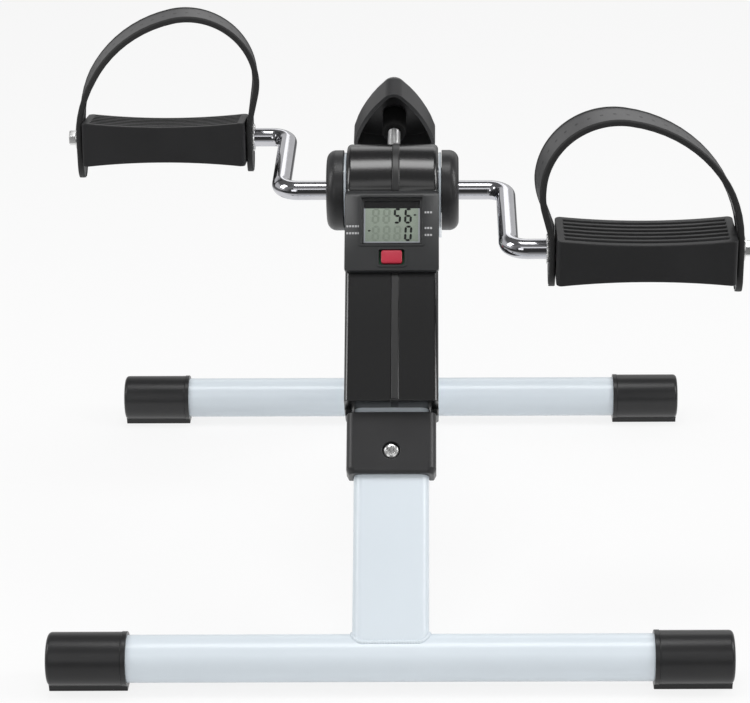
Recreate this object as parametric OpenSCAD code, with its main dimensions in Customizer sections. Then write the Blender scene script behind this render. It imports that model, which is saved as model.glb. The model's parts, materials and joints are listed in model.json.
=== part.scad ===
// Folding pedal exerciser: an A-frame of two painted steel T-legs, a moulded housing with a
// counter display, a bent-rod crank with two strapped pedals, and a screw-down friction brake.
// X runs to the right as the user sees it from the front, Y runs to the back, Z is up.
// The floor is Z = 0 and the origin lies midway between the two base bars.

/* [Base bars] */
// Length of each base bar over its end caps
bar_span = 400; // [340:1:480]
// Distance between the two base bars, centre to centre
bar_spacing = 400; // [370:1:450]
// Outside diameter of a base bar
bar_d = 28; // [24:0.5:32]
// Wall of a base bar
bar_wall = 1.5; // [1:0.1:3]
// Length of an end cap
cap_len = 46.5; // [30:0.5:70]
// Wall of an end cap round the bar
cap_wall = 1.8; // [1.5:0.1:4]
// Thickness of the closed end of a cap
cap_end = 4; // [2:0.5:8]
// Rounding of the closed end of a cap
cap_round = 2.5; // [1:0.5:6]
// Depth of the flat sole below the bar
cap_sole = 3.5; // [3.5:0.5:9]
// Width of the flat sole
cap_sole_w = 14; // [14:1:26]
// Distance the sole stops short of the closed end of a cap
cap_sole_short = 0.5; // [0.5:0.5:8]
// Width of the bead at the mouth of a cap
cap_bead_w = 3; // [1:0.5:6]
// Height of that bead
cap_bead_h = 0.3; // [0.3:0.1:1.2]

/* [Legs] */
// Height of the crank axis above the floor
axle_z = 239.5; // [220:0.5:270]
// Width of a leg tube
leg_w = 45; // [36:1:46]
// Depth of a leg tube
leg_t = 25; // [18:1:26]
// Outer corner radius of a leg tube
leg_r = 6; // [3:0.5:9]
// Wall of a leg tube
leg_wall = 1.5; // [1:0.1:2.5]
// Distance of the rear leg's centre line from the crank axis
rear_offset = 30; // [28:1:36]
// Distance from the crank axis to the top of the rear leg tube
rear_top = 77; // [72:1:100]
// Travel of the rear leg when it folds against the front leg, degrees
fold_travel = 74; // [40:1:74]

/* [Hinge fork] */
// Thickness of the fork plates
fork_t = 1.6; // [1.6:0.1:3]
// Radius of the round eye of a fork plate
fork_r = 23.5; // [23:0.5:26]
// Radius on which the stop pins run
stop_r = 19.5; // [18:0.25:20]
// Diameter of a stop pin
stop_d = 4.5; // [3:0.25:5]

/* [Bearing] */
// Outside diameter of the bearing shell
shell_d = 28; // [26:0.5:30]
// Bore of the bearing shell
shell_bore = 22; // [20:0.5:23]
// Length of the bearing shell past the outer face of a fork plate
shell_past = 3; // [2:0.5:5]
// Length of a bush inside the shell
bush_len = 13; // [8:1:16]
// Thickness of a bush's flange
bush_flange = 1.6; // [1:0.1:2.5]

/* [Housing] */
// Width of the housing over both halves
housing_w = 56.4; // [53:0.2:60]
// Radius of the barrel round the crank axis
barrel_r = 28.6; // [27.6:0.2:30]
// Rounding of the barrel's end edges
barrel_round = 3; // [1:0.5:4]
// Distance of the housing's front face from the leg's centre line
housing_front = 26; // [25:0.5:27]
// Distance of the housing's back face from the leg's centre line
housing_back = 15.5; // [15:0.5:17]
// Distance from the crank axis to the bottom of the housing
housing_low = 148.5; // [130:0.5:160]
// Rounding of the housing's upright edges
housing_round = 3; // [1:0.5:4]
// Wall of the housing
housing_wall = 2; // [1.6:0.1:2.2]
// Width of the raised lip of the right half along the seam
seam_w = 4.2; // [2:0.2:6]
// Height of that lip
seam_h = 0.6; // [0.3:0.1:1.2]
// Outside diameter of a screw boss
screw_boss_d = 7.5; // [6.5:0.5:8]
// Shank diameter of the housing and collar screws
screw_d = 3.5; // [2.5:0.5:4]
// Head diameter of the housing screws
screw_head_d = 6.4; // [5:0.2:7]
// Head height of the housing and collar screws
screw_head_h = 2.2; // [1.2:0.2:2.6]

/* [Hub caps] */
// Outside radius of a hub cap
hub_r = 25; // [22:0.5:27]
// Depth of a hub cap
hub_depth = 10.6; // [9:0.2:13]
// Rounding of a hub cap's outer edge
hub_round = 6; // [3:0.5:7]
// Wall of a hub cap
hub_wall = 1.8; // [1.4:0.2:2.4]

/* [Display] */
// Width of the display case
case_w = 57.4; // [54:0.2:60]
// Distance from the crank axis to the top of the display case
case_top = 12.4; // [12.4:0.2:14]
// Height of the display case
case_h = 54; // [54:0.5:58]
// Distance the display case stands out of the housing's front
case_out = 3.5; // [3:0.1:5]
// Height of the bevel along the top of the display case
case_bevel_h = 4.4; // [1:0.1:5]
// Depth of that bevel
case_bevel_d = 2.6; // [1:0.1:3]
// Depth of the display case inside the housing
case_in = 11; // [10.6:0.1:11.2]
// Wall of the display case's body
case_wall = 1.4; // [1:0.1:1.6]
// Thickness of the front panel of the case
panel_t = 2; // [1.8:0.1:2.2]
// Width of the display lens
lens_w = 37; // [34:0.5:40]
// Height of the display lens
lens_h = 30.6; // [28:0.2:31]
// Thickness of the display lens
lens_t = 1.2; // [0.8:0.1:1.4]
// Distance from the top of the case to the top of the lens
lens_drop = 5.8; // [5:0.2:6]
// Width of the ledge that the lens sits on
lens_ledge = 1.4; // [1:0.1:2]
// Thickness of the liquid crystal panel
lcd_t = 2.1; // [1.6:0.1:2.2]
// Thickness of the circuit board
board_t = 1.6; // [1:0.1:1.8]
// Diameter of the button cell
cell_d = 11.6; // [9:0.1:14]
// Thickness of the button cell
cell_t = 5.4; // [3:0.1:5.6]
// Width of the reset button
button_w = 15; // [12:0.5:18]
// Height of the reset button
button_h = 9.4; // [8:0.2:10]
// Height of the reset button above the panel
button_out = 1.3; // [1.1:0.1:2]
// Travel of the reset button
button_travel = 1; // [0.6:0.1:1]
// Distance from the top of the case to the middle of the reset button
button_drop = 45.2; // [44:0.1:45.6]

/* [Leg collar] */
// Distance from the bottom of the housing to the top of the collar
collar_gap = 4; // [2:0.5:8]
// Height of the collar
collar_h = 38; // [30:1:50]
// Width of the collar
collar_w = 53.6; // [50:0.2:55]
// Wall of the collar in front of the leg
collar_wall = 4.5; // [3:0.5:6]
// Depth of the collar, from its front towards the back of the leg
collar_t = 17; // [12:0.5:28]
// Rounding of the collar's upright edges
collar_round = 5; // [2:0.5:7]
// Depth of the bevel round the collar's lower edge
collar_bevel = 3; // [1:0.5:5]
// Distance from the top of the collar to its screw
collar_screw_drop = 24; // [16:0.5:28]
// Head diameter of the collar screw
collar_head_d = 9.4; // [7:0.2:10]
// Gap round the collar screw's head in its recess
collar_head_gap = 0.6; // [0.4:0.1:2]
// Depth of that recess
collar_recess = 2.6; // [2.2:0.1:3]

/* [Crank] */
// Diameter of the crank rod
rod_d = 12; // [10:0.5:13]
// Distance from the crank axis to a pedal spindle
crank_throw = 94.5; // [80:0.5:105]
// Distance from the middle to the centre line of a crank arm
arm_x = 70.2; // [64:0.2:76]
// Centre line radius of the rod's bends
bend_r = 11; // [9:0.5:14]
// Turn of the right crank below the horizontal at rest, degrees
crank_rest = 3.9; // [-90:0.1:90]
// Outside diameter of the brake sleeve on the axle
sleeve_d = 18; // [17:0.5:19]
// Length of the brake sleeve
sleeve_len = 16; // [12:1:24]
// Diameter of the counter magnet
magnet_d = 4; // [2:0.5:5]
// Thickness of the counter magnet
magnet_t = 2; // [1:0.1:2.4]

/* [Pedals] */
// Length of a pedal
pedal_len = 106; // [90:1:120]
// Depth of a pedal, front to back
pedal_deep = 40; // [36:1:50]
// Thickness of a pedal at its ends
pedal_t = 28.4; // [26:0.2:32]
// Dish of the pedal's two treads
pedal_dish = 2.6; // [1:0.1:3]
// Rounding of the pedal's four upright edges
pedal_round = 3; // [1:0.5:5]
// Distance of the pedal's middle below its spindle
pedal_drop = 1.6; // [0:0.2:2.4]
// Distance from the middle to the inner end of a pedal
pedal_x = 97.7; // [94:0.1:104]
// Width of the plain border at the ends of the tread grooves
groove_border = 5; // [3:0.5:15]
// Width of a tread groove
groove_w = 2.4; // [1.5:0.1:3]
// Depth of a tread groove
groove_deep = 1.4; // [0.6:0.1:2]
// Distance between tread grooves
groove_pitch = 5.7; // [4:0.1:5.7]
// Number of tread grooves on a face
groove_count = 6; // [3:1:7]
// Outside diameter of a pedal bush
pedal_bush_d = 16; // [15:0.5:18]
// Length of a pedal bush
pedal_bush_len = 14; // [8:1:20]
// Turn of the right pedal at rest, top towards the front, degrees
right_pedal_turn = 3.7; // [-180:0.1:180]
// Turn of the left pedal at rest, top towards the front, degrees
left_pedal_turn = -7; // [-180:0.1:180]

/* [Straps] */
// Width of a strap
strap_w = 24; // [18:0.5:28]
// Thickness of a strap
strap_t = 2.8; // [1.6:0.1:3.2]
// Gap between a pedal's inner end and the strap
strap_gap = 0.8; // [0.4:0.1:2]
// Gap between a pedal's outer end and the strap
strap_outer_gap = 1.4; // [0.4:0.1:3]
// Distance the right strap bulges past the pedal's inner end
right_strap_bulge = 9.4; // [6:0.2:12]
// Distance the left strap bulges past the pedal's inner end
left_strap_bulge = 7; // [6:0.2:12]
// Radius of the strap's arch
strap_arch = 43.5; // [38:0.5:48]
// Height of the middle of that arch above the spindle
strap_shoulder = 40; // [36:1:50]
// Height above the spindle at which the strap leaves its upright outer end
strap_knee = 4; // [0:1:12]
// Distance the strap's inner tail reaches below the spindle
strap_inner_tail = 23; // [18:0.5:30]
// Distance the strap's outer tail reaches below the spindle
strap_outer_tail = 27; // [18:0.5:30]
// Turn of the right strap at rest, top towards the front, degrees
right_strap_turn = 4.6; // [-30:0.1:30]
// Turn of the left strap at rest, top towards the front, degrees
left_strap_turn = 2.5; // [-30:0.1:30]

/* [Tension] */
// Lean of the tension screw to the back, from upright, degrees
knob_lean = 68; // [60:1:75]
// Diameter of the tension screw
stud_d = 8; // [6:0.5:8]
// Distance from the crank axis to the rim of the knob
knob_rim = 60; // [52:0.5:66]
// Depth of the knob
knob_depth = 20.5; // [16:0.5:24]
// Radius of the circle that touches the knob's three lobes
knob_reach = 29; // [26:0.5:34]
// Rounding of the knob's lobes
knob_lobe = 8; // [6:0.5:10]
// Bulge of the knob's sides, as half the angle that each side turns through
knob_side = 15; // [8:1:20]
// Wall of the knob
knob_wall = 2.6; // [2:0.1:3.4]
// Diameter of the knob's hub
knob_hub_d = 15; // [12:0.5:17]
// Distance the hub reaches past the rim
knob_hub_past = 3; // [1:0.5:6]
// Outside diameter of the threaded boss
boss_d = 16; // [13:0.5:16]
// Distance from the crank axis to the end of the threaded boss
boss_end = 31; // [30:0.5:34]
// Travel of the brake shoe
brake_travel = 3; // [1:0.25:3.5]

/* [Hidden] */
$fn = 64;

// Clearances
run_fit = 0.05;
weld_gap = 0.05;
slip = 0.2;
side_gap = 0.3;
touch = 0.1;

// Base bars and legs
bar_z = bar_d / 2 + cap_sole;
bar_y = bar_spacing / 2;
tube_span = bar_span - 2 * cap_end;
cap_r = bar_d / 2 + cap_wall;
rise = axle_z - bar_z;
front_lean = atan(bar_y / rise);
front_len = sqrt(bar_y * bar_y + rise * rise);
rear_lean = front_lean - asin(rear_offset / front_len);
rear_len = sqrt(front_len * front_len - rear_offset * rear_offset);

// Across the hinge, from the middle out
fork_x = housing_w / 2 + side_gap;
hub_x = fork_x + fork_t + side_gap;
shell_half = fork_x + fork_t + shell_past;
stop_lug_t = 2.6;
stop_lug_rim = 2;
stop_x = housing_w / 2 - housing_wall - slip - stop_lug_t;
stop_turn = 40;
fork_front_turn = 30;
fork_back_turn = 20;
hub_neck_t = 2;

// Housing and display, measured in the front leg's frame
case_face = -(housing_front + case_out);
case_back = -(housing_front - case_in);
case_low = case_top + case_h;
case_corner = 2;
body_side = 4.3;
lens_z = -(case_top + lens_drop + lens_h / 2);
button_z = -(case_top + button_drop);
panel_back = case_face + panel_t;
button_flange = 1;
button_skirt = 0.9;
body_w = case_w - 2 * body_side;
body_top = -(case_top + lens_drop - case_wall - slip);
body_low = button_z - button_h / 2 - button_skirt - slip - case_wall;
lcd_back = panel_back + touch + lcd_t;
board_front = lcd_back + slip;
button_corner = 1.2;
pad_t = board_front - panel_back - touch - button_flange - button_travel - touch;
screw_y = -(housing_front - housing_wall - screw_boss_d / 2 - touch);
screw_high = 8;
screw_low = 9;
screw_heights = [-(case_low + screw_high), -(housing_low - screw_low)];
screw_len = 16;
screw_hole_spare = 2;
seam_head = 1.5;
seam_foot = 1;
sensor_w = 9;
sensor_h = 5;
sensor_gap = 0.6;
lead_d = 1.6;
lead_inside = 3;
lead_y = board_front + board_t + touch + lead_d / 2;

// Collar
collar_top = -(housing_low + collar_gap);
collar_screw_z = collar_top - collar_screw_drop;
collar_screw_len = 14;
collar_front = leg_t / 2 + collar_wall;
collar_back = collar_t - collar_front;
lug_w = 4;
lug_deep = 10;
lug_x = leg_w / 2 + 1.4;

// Crank
axle_half = arm_x - bend_r - touch;
spindle_end = pedal_x + pedal_len + strap_outer_gap + strap_t + side_gap;
washer_r = 9;
washer_t = 1.4;
end_washer_r = 7.5;
nut_af = 9;
nut_t = 4.5;
thread_d = 6;

// Straps, seen along the pedal with s = 0 at its inner end
strap_in = -(strap_gap + strap_t / 2);
strap_out = pedal_len + strap_outer_gap + strap_t / 2;
washer_room = 1.5;
inner_knee = [strap_in, washer_r + washer_room];
spindle_clear = 0.4;
pedal_bore_gap = 1;

// Tension
stud_low = 20;
stud_gap = 0.1;
shoe_low = sleeve_d / 2 + side_gap + brake_travel;
stud_short = 6;
stud_high = knob_rim + knob_depth - stud_short;
knob_top_t = 3;
knob_crown = 4;

// Frames

module front_frame() {
    translate([0, 0, axle_z]) rotate([-front_lean, 0, 0]) children();
}

module rear_frame() {
    translate([0, 0, axle_z]) rotate([rear_lean, 0, 0]) children();
}

module knob_frame() {
    translate([0, 0, axle_z]) rotate([-knob_lean, 0, 0]) children();
}

// The right crank points to the front at rest and the left one to the back.
module crank_frame(side) {
    translate([0, 0, axle_z])
        rotate([side > 0 ? crank_rest : crank_rest + 180, 0, 0])
            mirror([side > 0 ? 0 : 1, 0, 0])
                children();
}

// Origin on the spindle at the pedal's inner end, x outwards, z out of the tread.
module spindle_frame(side, turn) {
    reach = side > 0 ? crank_throw : -crank_throw;
    translate([0, -reach * cos(crank_rest), axle_z - reach * sin(crank_rest)])
        rotate([turn, 0, 0])
            mirror([side > 0 ? 0 : 1, 0, 0])
                translate([pedal_x, 0, 0])
                    children();
}

module pedal_frame(side) {
    spindle_frame(side, side > 0 ? right_pedal_turn : left_pedal_turn) children();
}

// Shapes

module round_rect(w, h, r) {
    square([w - 2 * r, h], center = true);
    square([w, h - 2 * r], center = true);
    for (x = [-1, 1], y = [-1, 1])
        translate([x * (w / 2 - r), y * (h / 2 - r)]) circle(r);
}

// A cylinder along X from x0 to x1.
module rod_x(r, x0, x1) {
    translate([x0, 0, 0]) rotate([0, 90, 0]) cylinder(r = r, h = x1 - x0);
}

module pipe_x(r, bore, x0, x1) {
    difference() {
        rod_x(r, x0, x1);
        rod_x(bore, x0 - 1, x1 + 1);
    }
}

// A block centred on X, from y0 to y1 and z0 to z1.
module block(w, y0, y1, z0, z1) {
    translate([-w / 2, y0, z0]) cube([w, y1 - y0, z1 - z0]);
}

// A solid of revolution about X, from points of [distance along X, radius].
module turned_x() {
    rotate([90, 0, 90]) rotate_extrude() children();
}

function arc(c, r, a0, a1, n) =
    [for (i = [0 : n]) let (a = a0 + (a1 - a0) * i / n) c + r * [cos(a), sin(a)]];

function reversed(list) = [for (i = [len(list) - 1 : -1 : 0]) list[i]];

// Base bars and end caps

module base_bar() {
    pipe_x(bar_d / 2, bar_d / 2 - bar_wall, -tube_span / 2, tube_span / 2);
}

// The cap's bore starts at x = 0 and its closed end points along +X.
module end_cap() {
    shoulder = cap_len - cap_round;
    difference() {
        union() {
            turned_x() {
                square([cap_r - cap_round, cap_len]);
                square([cap_r, shoulder]);
                translate([cap_r - cap_round, shoulder]) intersection() {
                    circle(cap_round);
                    square(cap_round);
                }
                square([cap_r + cap_bead_h, cap_bead_w]);
            }
            translate([0, -cap_sole_w / 2, -bar_z])
                cube([cap_len - cap_sole_short, cap_sole_w, bar_z]);
        }
        rod_x(bar_d / 2 + run_fit, -1, cap_len - cap_end);
    }
}

module placed_cap(y, side) {
    translate([side * (bar_span / 2 - cap_len), y, bar_z])
        mirror([side > 0 ? 0 : 1, 0, 0])
            end_cap();
}

module front_base_bar() {
    color("aliceblue") translate([0, -bar_y, bar_z]) base_bar();
}

module rear_base_bar() {
    color("aliceblue") translate([0, bar_y, bar_z]) base_bar();
}

module front_left_cap() {
    color("dimgray") placed_cap(-bar_y, -1);
}

module front_right_cap() {
    color("dimgray") placed_cap(-bar_y, 1);
}

module rear_left_cap() {
    color("dimgray") placed_cap(bar_y, -1);
}

module rear_right_cap() {
    color("dimgray") placed_cap(bar_y, 1);
}

// Front leg, bearing and stop pins

module leg_section() {
    difference() {
        round_rect(leg_w, leg_t, leg_r);
        round_rect(leg_w - 2 * leg_wall, leg_t - 2 * leg_wall, leg_r - leg_wall);
    }
}

module front_leg_tube() {
    color("aliceblue") front_frame() difference() {
        translate([0, 0, -front_len]) linear_extrude(front_len) leg_section();
        rod_x(shell_d / 2 + weld_gap, -leg_w, leg_w);
        translate([0, 0, -front_len]) rod_x(bar_d / 2 + weld_gap, -leg_w, leg_w);
        translate([0, 0, collar_screw_z]) rotate([90, 0, 0])
            cylinder(d = screw_d + slip, h = leg_t);
    }
}

// Places a stop pin or its lug round the shell.
module at_stop(side) {
    mirror([side > 0 ? 0 : 1, 0, 0])
        rotate([stop_turn, 0, 0])
            translate([0, 0, stop_r])
                children();
}

module bearing_shell() {
    lug_r = stop_d / 2 + stop_lug_rim;
    color("lightsteelblue") translate([0, 0, axle_z]) difference() {
        union() {
            rod_x(shell_d / 2, -shell_half, shell_half);
            for (side = [-1, 1]) at_stop(side) {
                rod_x(lug_r, stop_x, stop_x + stop_lug_t);
                translate([stop_x, -lug_r, -stop_r + shell_d / 2 - 1])
                    cube([stop_lug_t, 2 * lug_r, stop_r - shell_d / 2 + 1]);
            }
        }
        rod_x(shell_bore / 2, -shell_half - 1, shell_half + 1);
        for (side = [-1, 1]) at_stop(side) rod_x(stop_d / 2, 0, shell_half);
        rotate([-knob_lean, 0, 0]) cylinder(d = stud_d + 2 * run_fit, h = shell_d);
        rotate([-front_lean, 0, 0])
            block(sensor_w + slip, -shell_d, 0, -sensor_h / 2 - touch, sensor_h / 2 + touch);
    }
}

module fold_stop_pins() {
    color("silver") translate([0, 0, axle_z])
        for (side = [-1, 1]) at_stop(side) rod_x(stop_d / 2, stop_x, hub_x - touch);
}

module bush(side) {
    flange_r = (shell_d + shell_bore) / 4;
    translate([0, 0, axle_z]) mirror([side > 0 ? 0 : 1, 0, 0]) difference() {
        union() {
            rod_x(shell_bore / 2, shell_half - bush_len, shell_half);
            rod_x(flange_r, shell_half, shell_half + bush_flange);
        }
        rod_x(rod_d / 2 + run_fit, 0, shell_half + bush_flange + 1);
    }
}

module left_bush() {
    color("ivory") bush(-1);
}

module right_bush() {
    color("ivory") bush(1);
}

// Housing, hub caps and screws, in the front leg's frame

// The housing's outer form, or its cavity when shrunk by the wall.
module housing_form(shrink) {
    half = housing_w / 2 - shrink;
    r = barrel_r - shrink;
    edge = max(barrel_round - shrink, 0.5);
    corner = max(housing_round - shrink, 0.5);
    deep = housing_front + housing_back - 2 * shrink;
    turned_x() {
        translate([0, -half]) square([r - edge, 2 * half]);
        translate([0, edge - half]) square([r, 2 * (half - edge)]);
        for (end = [-1, 1])
            translate([r - edge, end * (half - edge)]) intersection() {
                circle(edge);
                square([2 * edge, 4 * edge], center = true);
            }
    }
    translate([0, (housing_back - housing_front) / 2, shrink - housing_low])
        linear_extrude(housing_low - shrink)
            round_rect(2 * half, deep, corner);
}

module screw_bosses(d, x0, x1) {
    for (z = screw_heights) translate([0, screw_y, z]) rod_x(d / 2, x0, x1);
}

// The right half's lip over the seam, down the front and round the barrel.
module seam_lip() {
    translate([seam_w / 2, 0, 0])
        block(seam_w, -housing_front - seam_h, -housing_front + 1,
            -housing_low + seam_foot, -case_low - seam_head);
    difference() {
        rod_x(barrel_r + seam_h, 0, seam_w);
        block(3 * seam_w, -2 * barrel_r, -housing_front, -2 * barrel_r, slip - case_top);
    }
}

module housing_half(side) {
    half = housing_w / 2;
    front_frame() mirror([side > 0 ? 0 : 1, 0, 0]) difference() {
        union() {
            difference() {
                intersection() {
                    union() {
                        housing_form(0);
                        if (side > 0) seam_lip();
                    }
                    translate([0, -2 * half, -2 * housing_low])
                        cube([half, 4 * half, 2 * (housing_low + half)]);
                }
                housing_form(housing_wall);
            }
            screw_bosses(screw_boss_d, 0, half - housing_wall / 2);
            translate([lug_x, collar_back - lug_deep, collar_top + touch])
                cube([lug_w, lug_deep, collar_gap + housing_wall / 2]);
        }
        rod_x(shell_d / 2 + slip, 0, half + 1);
        rotate([front_lean, 0, 0]) rotate([stop_turn, 0, 0])
            translate([0, 0, stop_r]) rod_x(stop_d / 2 + slip, 0, half + 1);
        rotate([front_lean - knob_lean, 0, 0]) cylinder(d = boss_d + 2 * slip, h = 2 * barrel_r);
        translate([0, 0, -housing_low - 1]) linear_extrude(housing_wall + 2)
            round_rect(leg_w + 2 * slip, leg_t + 2 * slip, leg_r);
        block(body_w + 2 * slip, -housing_front - 1, case_back + slip,
            body_low - slip, body_top + slip);
        if (side > 0) {
            screw_bosses(screw_d + slip, -1, half + 1);
            screw_bosses(screw_head_d + slip, half - screw_head_h, half + 1);
        } else {
            screw_bosses(screw_d, -1, screw_len);
        }
    }
}

module housing_left() {
    color("#2b2b2b") housing_half(-1);
}

module housing_right() {
    color("#2b2b2b") housing_half(1);
}

module housing_screws() {
    half = housing_w / 2;
    color("silver") front_frame() {
        screw_bosses(screw_d, screw_hole_spare - screw_len, half - screw_head_h);
        screw_bosses(screw_head_d, half - screw_head_h, half - touch);
    }
}

module hub_cap(side) {
    far = hub_depth - hub_round;
    inner = hub_depth - hub_wall;
    neck_bore = shell_d / 2 + run_fit;
    translate([0, 0, axle_z]) mirror([side > 0 ? 0 : 1, 0, 0]) translate([hub_x, 0, 0]) {
        difference() {
            turned_x() {
                square([hub_r - hub_round, hub_depth]);
                square([hub_r, far]);
                translate([hub_r - hub_round, far]) intersection() {
                    circle(hub_round);
                    square(hub_round);
                }
            }
            turned_x() translate([0, -1]) {
                square([hub_r - hub_round, inner + 1]);
                square([hub_r - hub_wall, far + 1 - hub_wall]);
            }
            rod_x(rod_d / 2 + spindle_clear, 0, hub_depth + 1);
        }
        pipe_x(neck_bore + hub_neck_t, neck_bore, 0, inner + touch);
    }
}

module left_hub_cap() {
    color("#333333") hub_cap(-1);
}

module right_hub_cap() {
    color("#333333") hub_cap(1);
}

// Display, in the front leg's frame with its face towards -Y

module display_case() {
    color("#303030") front_frame() difference() {
        union() {
            translate([0, -housing_front - touch, -(case_top + case_low) / 2]) rotate([90, 0, 0])
                linear_extrude(case_out - touch) round_rect(case_w, case_h, case_corner);
            block(body_w, -housing_front - 1, case_back, body_low, body_top);
        }
        block(body_w - 2 * case_wall, panel_back, case_back - case_wall,
            body_low + case_wall, body_top - case_wall);
        translate([0, 0, lens_z])
            block(lens_w + 2 * touch, case_face - 1, case_face + lens_t + touch,
                -lens_h / 2 - touch, lens_h / 2 + touch);
        translate([0, 0, lens_z])
            block(lens_w - 2 * lens_ledge, case_face - 1, panel_back + 1,
                lens_ledge - lens_h / 2, lens_h / 2 - lens_ledge);
        translate([0, 0, button_z])
            block(button_w + 2 * slip, case_face - 1, panel_back + 1,
                -button_h / 2 - slip, button_h / 2 + slip);
        translate([0, lead_y, body_top - case_wall - 1]) cylinder(d = lead_d + slip, h = case_wall + 2);
        rotate([90, 0, 90]) linear_extrude(2 * case_w, center = true)
            polygon([
                [case_face, -case_top - case_bevel_h], [case_face + case_bevel_d, -case_top],
                [case_face + case_bevel_d, 1 - case_top], [case_face - 1, 1 - case_top],
                [case_face - 1, -case_top - case_bevel_h]
            ]);
    }
}

module display_lens() {
    color("#9aa39a") front_frame() translate([0, 0, lens_z])
        block(lens_w, case_face + touch, case_face + lens_t + touch, -lens_h / 2, lens_h / 2);
}

module lcd_panel() {
    color("#8f9c8d") front_frame() translate([0, 0, lens_z])
        block(lens_w, panel_back + touch, lcd_back, -lens_h / 2, lens_h / 2);
}

module display_board() {
    color("seagreen") front_frame()
        block(body_w - 2 * case_wall - 2 * touch, board_front, board_front + board_t,
            body_low + case_wall + touch, body_top - case_wall - touch);
}

module button_cell() {
    color("lightgray") front_frame() translate([0, board_front + board_t + touch, lens_z])
        rotate([-90, 0, 0]) cylinder(d = cell_d, h = cell_t);
}

module button_pad() {
    color("dimgray") front_frame() translate([0, board_front - touch / 2, button_z])
        rotate([90, 0, 0]) cylinder(d = button_h / 2, h = pad_t);
}

module reset_button() {
    color("firebrick") front_frame() translate([0, 0, button_z]) {
        translate([0, panel_back + touch, 0]) rotate([90, 0, 0])
            linear_extrude(panel_t + button_out + touch) round_rect(button_w, button_h, button_corner);
        block(button_w + 2 * button_skirt, panel_back + touch, panel_back + touch + button_flange,
            -button_h / 2 - button_skirt, button_h / 2 + button_skirt);
    }
}

module reed_sensor() {
    low = sleeve_d / 2 + sensor_gap;
    color("#d8d2b8") front_frame()
        block(sensor_w, -shell_d / 2, -low, -sensor_h / 2, sensor_h / 2);
}

// The lead runs from the sensor to the back of the circuit board.
module sensor_lead() {
    low = body_top - case_wall - lead_inside;
    start = [0, -shell_d / 2 - lead_d / 2 - touch, 0];
    knee = [0, lead_y, -case_top + lead_d];
    run = knee - start;
    color("#555555") front_frame() {
        translate(start) rotate([-atan2(run[1], run[2]), 0, 0])
            cylinder(d = lead_d, h = norm(run) + lead_d / 2);
        translate([0, lead_y, low]) cylinder(d = lead_d, h = knee[2] + lead_d / 2 - low);
    }
}

// Leg collar

module leg_collar() {
    color("#303030") front_frame() difference() {
        union() {
            translate([0, 0, collar_top - collar_h + collar_bevel])
                linear_extrude(collar_h - collar_bevel) round_rect(collar_w, 2 * collar_front, collar_round);
            hull() {
                translate([0, 0, collar_top - collar_h + collar_bevel]) linear_extrude(touch)
                    round_rect(collar_w, 2 * collar_front, collar_round);
                translate([0, 0, collar_top - collar_h]) linear_extrude(touch)
                    round_rect(collar_w - collar_bevel, 2 * collar_front - collar_bevel, collar_round);
            }
        }
        translate([0, 0, collar_top - collar_h - 1]) linear_extrude(collar_h + 2)
            round_rect(leg_w + 2 * run_fit, leg_t + 2 * run_fit, leg_r);
        translate([0, 0, collar_screw_z]) rotate([90, 0, 0]) {
            cylinder(d = screw_d + slip, h = collar_front);
            translate([0, 0, collar_front - collar_recess])
                cylinder(d = collar_head_d + 2 * collar_head_gap, h = collar_front);
        }
        translate([0, 0, collar_top - collar_h - 1])
            block(2 * collar_w, collar_back, 2 * collar_front, 0, collar_h + 2);
    }
}

module collar_screw() {
    head_y = collar_front - collar_recess;
    color("silver") front_frame() translate([0, 0, collar_screw_z]) rotate([90, 0, 0]) {
        translate([0, 0, head_y - collar_screw_len]) cylinder(d = screw_d, h = collar_screw_len);
        translate([0, 0, head_y]) cylinder(d = collar_head_d, h = screw_head_h);
    }
}

// Rear leg and its hinge fork

module rear_leg_tube() {
    color("aliceblue") rear_frame() translate([0, rear_offset, 0]) difference() {
        translate([0, 0, -rear_len]) linear_extrude(rear_len - rear_top) leg_section();
        translate([0, 0, -rear_len]) rod_x(bar_d / 2 + weld_gap, -leg_w, leg_w);
    }
}

// The slot lets the fixed stop pin through from the open frame to the folded one.
module stop_slot() {
    half = stop_d / 2 + side_gap;
    spare = asin(half / stop_r);
    open = stop_turn - rear_lean - spare;
    translate([-1, 0, 0]) rotate([open, 0, 0]) rotate([0, 90, 0]) rotate([0, 0, 180])
        rotate_extrude(angle = fold_travel + 2 * spare)
            translate([stop_r - half, 0]) square([2 * half, fork_t + 2]);
}

module fork_plate(side) {
    foot_y = rear_offset - leg_t / 2;
    front = (fork_r - touch) * [-sin(fork_front_turn), -cos(fork_front_turn)];
    back = (fork_r - touch) * [cos(fork_back_turn), sin(fork_back_turn)];
    color("aliceblue") rear_frame()
        mirror([side > 0 ? 0 : 1, 0, 0]) translate([fork_x, 0, 0]) difference() {
            union() {
                rod_x(fork_r, 0, fork_t);
                rotate([90, 0, 90]) linear_extrude(fork_t)
                    polygon([front, [foot_y, -rear_top], [foot_y + leg_t, -rear_top], back, [0, 0]]);
            }
            rod_x(shell_d / 2 + run_fit, -1, fork_t + 1);
            stop_slot();
        }
}

module left_fork_plate() {
    fork_plate(-1);
}

module right_fork_plate() {
    fork_plate(1);
}

// The bridge joins the two fork plates over the end of the rear leg tube.
module fork_bridge() {
    low = weld_gap - rear_top;
    front = rear_offset - leg_t / 2;
    color("aliceblue") rear_frame()
        block(2 * (fork_x - weld_gap), front, front + leg_t, low, low + fork_t);
}

// Crank

module crank_axle() {
    color("gainsboro") translate([0, 0, axle_z]) rod_x(rod_d / 2, -axle_half, axle_half);
}

module brake_sleeve() {
    color("slategray") translate([0, 0, axle_z]) difference() {
        pipe_x(sleeve_d / 2, rod_d / 2, -sleeve_len / 2, sleeve_len / 2);
        magnet_seat();
    }
}

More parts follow.
